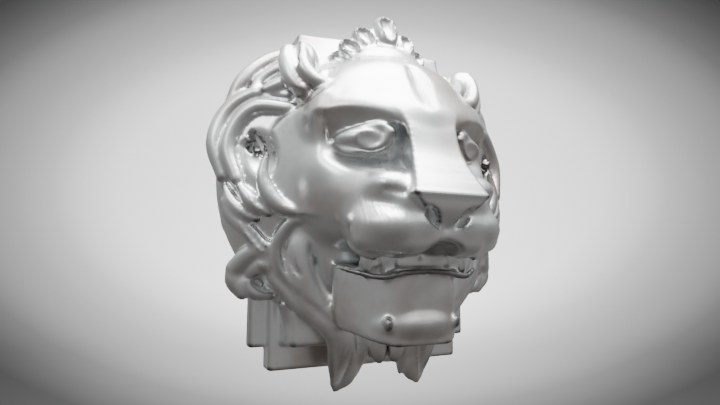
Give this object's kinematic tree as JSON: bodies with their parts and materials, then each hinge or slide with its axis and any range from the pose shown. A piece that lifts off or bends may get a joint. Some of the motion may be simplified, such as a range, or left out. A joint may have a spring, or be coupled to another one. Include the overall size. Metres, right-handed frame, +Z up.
{
  "type": "lion head wall mask",
  "caption": "Cast metal lion head wall mask with an open fanged mouth, curled mane locks and a fluted forelock, flat at the back.",
  "frame": {"origin": "on the flat back at the wall, on the head's middle plane, level with the lower part of the nose's bridge", "axes": "+X to the viewer's right, +Y into the wall, +Z up; the face looks along -Y"},
  "size_m": [0.374, 0.1966, 0.4167],
  "materials": {
    "cast_metal": "satin polished cast metal"
  },
  "bodies": {
    "root": {"lion_head_mask": "cast_metal"}
  },
  "joints": []
}
